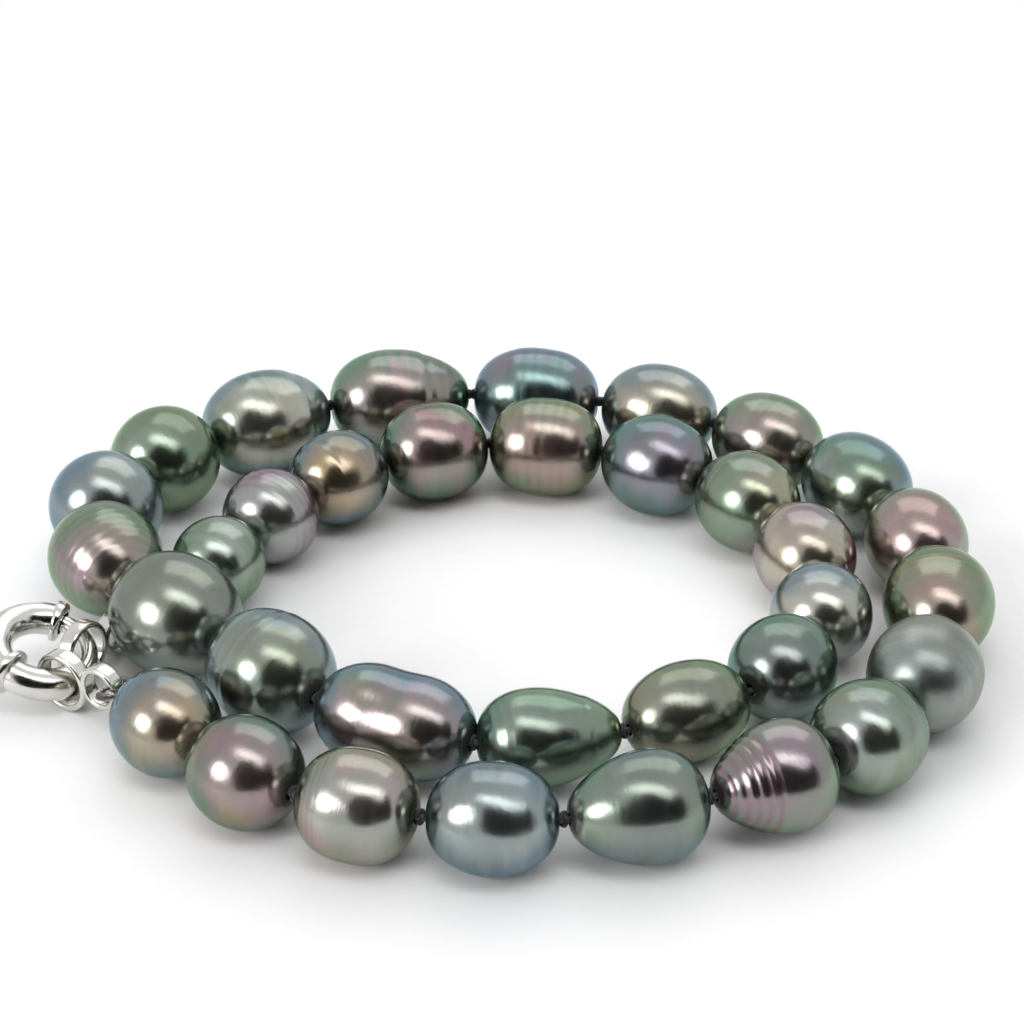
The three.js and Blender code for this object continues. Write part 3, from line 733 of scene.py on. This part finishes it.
def addConnector(name, joint, knot, gimpName):
    centre, through = jointPlace[joint], jointAxis[joint]
    vertices = frame["nodes"][name].data.vertices
    middle = sum((vertex.co for vertex in vertices), Vector()) / len(vertices)
    along = middle - centre
    along = (along - through * along.dot(through)).normalized()
    mesh, apart = connectorMesh(name + "_silver")
    turn = Matrix((along, through.cross(along), through)).transposed().to_4x4()
    mesh.transform(Matrix.Translation(centre) @ turn)
    placed(name + "_silver", mesh, name, [name])

    # the gimp leaves the knot, goes round the small eye's far rim and comes back beside itself
    facts, wire = connectorSettings, gimpSettings
    eye = centre + along * apart
    small = facts["smallEye"] / 2
    inside = eye + along * (small - facts["wall"] - wire["width"] / 2 - wire["gap"]) * mm
    rim = eye + along * small * mm
    pastRim = eye + along * (small + wire["width"] + wire["gap"]) * mm
    neck = (pastRim - knot).normalized()
    side = neck.cross(Vector((0, 0, 1))).normalized()
    side = side if side.dot(through) > 0 else -side
    base = knot + neck * (wire["knotReach"] + wire["gap"]) * mm
    beside = through * (facts["width"] / 2 + wire["width"] / 2 + wire["gap"]) * mm
    leg = (wire["width"] / 2 + wire["gap"] / 2) * mm
    corners = [base + side * leg, pastRim + through * leg, rim + beside, inside + beside, inside,
               inside - beside, rim - beside, pastRim - through * leg, base - side * leg]
    points = smoothPath(corners, wire["steps"])
    reach = wire["width"] / 2 - wire["wire"] / 2
    coil = coiledWire(gimpName + "_wire", coilTree, points, wire["wire"], reach, wire["pitch"])
    placed(gimpName + "_wire", coil, "strand", [gimpName])
    cord = silkAlong(gimpName + "_silk", silkTree, silk, points, 0, wire["silkThinned"])
    placed(gimpName + "_silk", cord, "strand", [])


def smoothPath(corners, steps):  # a rounded path through the corners
    ends = [corners[0] * 2 - corners[1], *corners, corners[-1] * 2 - corners[-2]]
    points = []
    for a, b, c, d in zip(ends, ends[1:], ends[2:], ends[3:]):
        for i in range(steps):
            t = i / steps
            points.append(0.5 * ((2 * b) + (c - a) * t + (2 * a - 5 * b + 4 * c - d) * t ** 2
                                 + (3 * b - a - 3 * c + d) * t ** 3))
    return points + [corners[-1]]


coilTree = coiledTree()
addConnector("front_connector", "front_connector_rock", knots[0], "front_gimp_loop")
addConnector("back_connector", "back_connector_rock", knots[-1], "back_gimp_loop")
print("stage: connectors tied")


ringSettings = {
    "radius": 4.4, "tube": 1.55, "bore": 1.15, "from": 75, "to": 332, "lip": 0.16, "sides": 48,
    "collarAt": 236, "collar": 0.75, "collarWide": 7.2, "socket": 0.45, "socketWide": 7.2,
    "stationStep": 0.8, "boreSteps": 40, "blockStep": 3,
    "slotFrom": 144.7, "slotTo": 233.3, "slot": 1.3, "slotReach": 3,
    "bolt": 0.85, "boltTip": 80, "boltTail": -150, "noseRun": 4, "noseTurns": (6, 20, 38, 60),
    "boltSteps": 90,
    "tabAt": 219, "tabWide": 10.4, "tabThick": 0.7, "tabFoot": 5.55, "tabCrown": 7.85, "tabEdge": 0.12,
    "tabEdgeSteps": 3, "grip": 0.8, "gripFlat": 0.8, "gripSunk": 0.4, "gripSides": 32, "gripRows": 20,
    "springFrom": 97, "springTo": 206, "springWire": 0.3, "springReach": 0.7, "springTurns": 7,
    "springSteps": 60,
}


def between(first, last, count):  # evenly spaced places, both ends among them
    return [first + (last - first) * i / count for i in range(count + 1)]


def onRing(angle, out=0.0, up=0.0):
    reach, turn = (ringSettings["radius"] + out) * mm, math.radians(angle)
    return Vector((reach * math.cos(turn), reach * math.sin(turn), up * mm))


def ribbed(name, sections, closed):  # a closed skin over sections with as many corners each
    work = bmesh.new()
    rings = [[work.verts.new(corner) for corner in section] for section in sections]
    pairs = list(zip(rings, rings[1:])) + ([(rings[-1], rings[0])] if closed else [])
    for first, second in pairs:
        for k in range(len(first)):
            following = (k + 1) % len(first)
            work.faces.new((first[k], first[following], second[following], second[k]))
    if not closed:
        work.faces.new(rings[0])
        work.faces.new(list(reversed(rings[-1])))
    bmesh.ops.recalc_face_normals(work, faces=work.faces)
    mesh = bpy.data.meshes.new(name)
    work.to_mesh(mesh)
    work.free()
    return mesh


def arcSweep(name, stations, closed):  # round sections of given radius at given angles of the ring
    sides = ringSettings["sides"]
    turns = [fullTurn * k / sides for k in range(sides)]
    sections = [[onRing(angle, radius * math.cos(turn), radius * math.sin(turn)) for turn in turns]
                for angle, radius in stations]
    return ribbed(name, sections, closed)


def arcBlock(name, first, last, inner, outer, height):  # a square section along an arc of the ring
    count = max(4, round(abs(last - first) / ringSettings["blockStep"]))
    corners = ((inner, -1), (outer, -1), (outer, 1), (inner, 1))
    sections = [[onRing(angle, reach - ringSettings["radius"], side * height / 2) for reach, side in corners]
                for angle in between(first, last, count)]
    return ribbed(name, sections, False)


def modified(name, mesh, kind, settings, cutter=None):  # the mesh after one modifier
    holder = bpy.data.objects.new(name, mesh)
    bpy.context.scene.collection.objects.link(holder)
    modifier = holder.modifiers.new("shape", kind)
    for key, value in settings.items():
        setattr(modifier, key, value)
    if cutter:
        tool = bpy.data.objects.new(name + "Tool", cutter)
        bpy.context.scene.collection.objects.link(tool)
        modifier.object = tool
    graph = bpy.context.evaluated_depsgraph_get()
    result = bpy.data.meshes.new_from_object(holder.evaluated_get(graph), depsgraph=graph)
    bpy.data.objects.remove(holder)
    if cutter:
        bpy.data.objects.remove(tool)
    return result


def barrelStations():  # outside from the socket to the barrel's mouth, then back through the bore
    facts = ringSettings
    perDegree = math.radians(facts["radius"])
    flares = ((facts["collarAt"], facts["collar"], facts["collarWide"]),
              (facts["from"] + facts["socketWide"], facts["socket"], facts["socketWide"]))
    stations = []
    angle = facts["from"]
    while angle <= facts["to"] + 0.01:
        fromEnd = min(angle - facts["from"], facts["to"] - angle) * perDegree
        inward = 1 - min(1, fromEnd / facts["lip"])
        reach = facts["tube"] - facts["lip"] * (1 - math.sqrt(max(0, 1 - inward ** 2)))
        for middle, flare, wide in flares:
            off = abs(angle - middle) / wide
            if off < 1:
                reach += flare * math.sqrt(1 - off ** 3)
        stations.append((angle, reach))
        angle += facts["stationStep"]
    through = between(facts["to"], facts["from"], facts["boreSteps"])
    return stations + [(angle, facts["bore"]) for angle in through]


def boltStations():  # the rounded nose, then the rod
    facts = ringSettings
    nose = []
    for turn in facts["noseTurns"]:
        sine, cosine = math.sin(math.radians(turn)), math.cos(math.radians(turn))
        nose.append((facts["boltTip"] - facts["noseRun"] * (1 - cosine), facts["bolt"] * sine))
    rod = between(facts["boltTip"] - facts["noseRun"], facts["boltTail"], facts["boltSteps"])
    return nose + [(angle, facts["bolt"]) for angle in rod]


def thumbTab():  # a rounded stem with a round grip on its crown
    facts = ringSettings
    half = facts["tabWide"] / 2
    ends = (facts["tabAt"] - half, facts["tabAt"] + half)
    stem = arcBlock("stem", *ends, facts["tabFoot"], facts["tabCrown"], facts["tabThick"])
    settings = {"width": facts["tabEdge"] * mm, "segments": facts["tabEdgeSteps"]}
    stem = modified("stem", stem, "BEVEL", settings)
    grip = bmesh.new()
    grip.from_mesh(stem)
    crown = onRing(facts["tabAt"], facts["tabCrown"] - facts["radius"] - facts["gripSunk"])
    at = Matrix.Translation(crown) @ Matrix.Diagonal((1, 1, facts["gripFlat"], 1))
    bmesh.ops.create_uvsphere(grip, u_segments=facts["gripSides"], v_segments=facts["gripRows"],
                              radius=facts["grip"] * mm, matrix=at)
    grip.to_mesh(stem)
    grip.free()
    return stem


def addClasp():
    facts = ringSettings
    axis, centre = jointAxis["clasp_ring_turn"], jointPlace["clasp_ring_turn"]
    lean = Vector((0, 0, 1)).rotation_difference(axis)
    lie = Matrix.Translation(centre) @ lean.to_matrix().to_4x4()

    def finish(name, mesh, body, node):
        mesh.materials.clear()
        mesh.materials.append(polished)
        mesh.transform(lie)
        placed(name, creased(mesh, sharpest["tube"]), body, [node])

    outer = facts["radius"] + facts["slotReach"]
    slot = arcBlock("slot", facts["slotFrom"], facts["slotTo"], facts["radius"], outer, facts["slot"])
    barrel = arcSweep("barrel", barrelStations(), True)
    barrel = modified("barrel", barrel, "BOOLEAN", {"operation": "DIFFERENCE", "solver": "EXACT"}, slot)
    finish("clasp_ring_barrel", barrel, "clasp_ring", "clasp_ring")
    finish("clasp_bolt_rod", arcSweep("bolt", boltStations(), False), "clasp_bolt", "clasp_bolt")
    finish("thumb_tab_grip", thumbTab(), "clasp_bolt", "clasp_thumb_tab")

    places = between(facts["springFrom"], facts["springTo"], facts["springSteps"])
    points = [onRing(angle) for angle in places]
    pitch = routeLength(points) / mm / facts["springTurns"]
    spring = coiledWire("spring_coil", coilTree, points, facts["springWire"], facts["springReach"], pitch)
    spring.transform(lie)
    placed("spring_coil", spring, "clasp_ring", ["clasp_spring"])


addClasp()
print("stage: clasp made")


lightSettings = {
    "floorColour": 0.9, "clearFrom": 0.075, "clearTo": 0.15,
    "sky": 0.84, "dim": 0.008, "dimAim": (0.3, -0.86, 0.38), "dimCore": 0.8, "dimEdge": 0.67,
    "lampAim": (-0.75, -0.5, 0.42), "lampCore": 0.992, "lampEdge": 0.945, "lampGlow": 7.5,
    "stripAim": (0.16, -0.33, 0.93), "stripRun": (0.93, -0.25, -0.25), "stripLong": (0.3, 0.62),
    "stripWide": (0.04, 0.25), "stripGlow": 3.0,
    "fill": {"place": (60, 260, 330), "size": (420, 260), "power": 0.3},
    "floorRough": 0.6, "floorReach": 3.0, "grain": 900.0, "grainLift": 0.01,
}


def addLamp(name):
    facts = lightSettings[name]
    data = bpy.data.lights.new(name, "AREA")
    data.shape = "RECTANGLE"
    data.size, data.size_y = (side * mm for side in facts["size"])
    data.energy = facts["power"]
    lamp = bpy.data.objects.new(name, data)
    place = Vector(facts["place"]) * mm
    lamp.matrix_world = Matrix.Translation(place) @ (-place).to_track_quat("-Z", "Y").to_matrix().to_4x4()
    bpy.context.scene.collection.objects.link(lamp)


def addFloor():
    facts = lightSettings
    material, bench = newFinish("paleFloor")
    pale, lift = facts["floorColour"], facts["floorColour"] + facts["grainLift"]
    coordinates = bench.add("ShaderNodeTexCoord").outputs["Object"]
    grain = bench.smooth(bench.noise(coordinates, facts["grain"], 2.0), 0.3, 0.7)
    colour = bench.blended(grain, (pale, pale, pale, 1), (lift, lift, lift, 1))
    sockets = {"Base Color": colour, "Roughness": facts["floorRough"]}
    near = bench.add("ShaderNodeBsdfPrincipled", None, sockets)
    white = bench.add("ShaderNodeEmission", None, {"Color": (1, 1, 1, 1), "Strength": 1.0})
    path = bench.add("ShaderNodeLightPath")
    seen = bench.maths("MAXIMUM", bench.get(path, "Is Camera Ray"), bench.get(path, "Is Glossy Ray"))
    length = bench.add("ShaderNodeVectorMath", {"operation": "LENGTH"}, {0: coordinates})
    far = bench.smooth(bench.get(length, "Value"), facts["clearFrom"], facts["clearTo"])
    sockets = {0: seen * far, 1: near.outputs[0], 2: white.outputs[0]}
    shader = bench.add("ShaderNodeMixShader", None, sockets)
    bench.add("ShaderNodeOutputMaterial", None, {"Surface": shader.outputs[0]})
    mesh = bpy.data.meshes.new("floor")
    reach = facts["floorReach"]
    corners = [(-reach, -reach, 0), (reach, -reach, 0), (reach, reach, 0), (-reach, reach, 0)]
    mesh.from_pydata(corners, [], [(0, 1, 2, 3)])
    mesh.materials.append(material)
    floor = bpy.data.objects.new("floor", mesh)
    bpy.context.scene.collection.objects.link(floor)


def addSky():  # pale all round, but for two soft lamps and the dim room beyond the camera
    facts = lightSettings
    world = bpy.data.worlds.new("studio")
    world.use_nodes = True
    bpy.context.scene.world = world
    bench = Bench(world.node_tree)
    bench.tree.nodes.clear()
    direction = bench.add("ShaderNodeTexCoord").outputs["Generated"]

    def towards(aim):
        sockets = {0: direction, 1: tuple(aim)}
        node = bench.add("ShaderNodeVectorMath", {"operation": "DOT_PRODUCT"}, sockets)
        return bench.get(node, "Value")

    dimRoom = towards(Vector(facts["dimAim"]).normalized())
    room = bench.smooth(dimRoom, facts["dimEdge"], facts["dimCore"])
    sky, dim = facts["sky"], facts["dim"]
    around = bench.blended(room, (sky, sky, sky * 1.02, 1), (dim * 1.2, dim, dim * 0.7, 1))

    # a soft round lamp on the left, and a soft long one overhead
    onLamp = towards(Vector(facts["lampAim"]).normalized())
    lamp = bench.smooth(onLamp, facts["lampEdge"], facts["lampCore"]) * facts["lampGlow"]
    over = Vector(facts["stripAim"]).normalized()
    run = Vector(facts["stripRun"])
    run = (run - over * run.dot(over)).normalized()
    along, across = [bench.smooth(bench.maths("ABSOLUTE", towards(way)), *facts[key], 1.0, 0.0)
                     for way, key in ((run, "stripLong"), (over.cross(run), "stripWide"))]
    above = bench.maths("GREATER_THAN", towards(over), 0.0)
    light = lamp + along * across * above * facts["stripGlow"]
    lit = bench.add("ShaderNodeCombineColor", None, {0: light, 1: light, 2: light}).outputs[0]
    around = bench.blended(1.0, around, lit, "ADD")
    path = bench.add("ShaderNodeLightPath")
    seen = bench.blended(bench.get(path, "Is Camera Ray"), around, (1, 1, 1, 1))
    shader = bench.add("ShaderNodeBackground", None, {"Color": seen, "Strength": 1.0})
    bench.add("ShaderNodeOutputWorld", None, {"Surface": shader.outputs[0]})


addFloor()
addSky()
addLamp("fill")
bpy.context.scene.view_settings.view_transform = "Standard"
print("stage: studio lit")
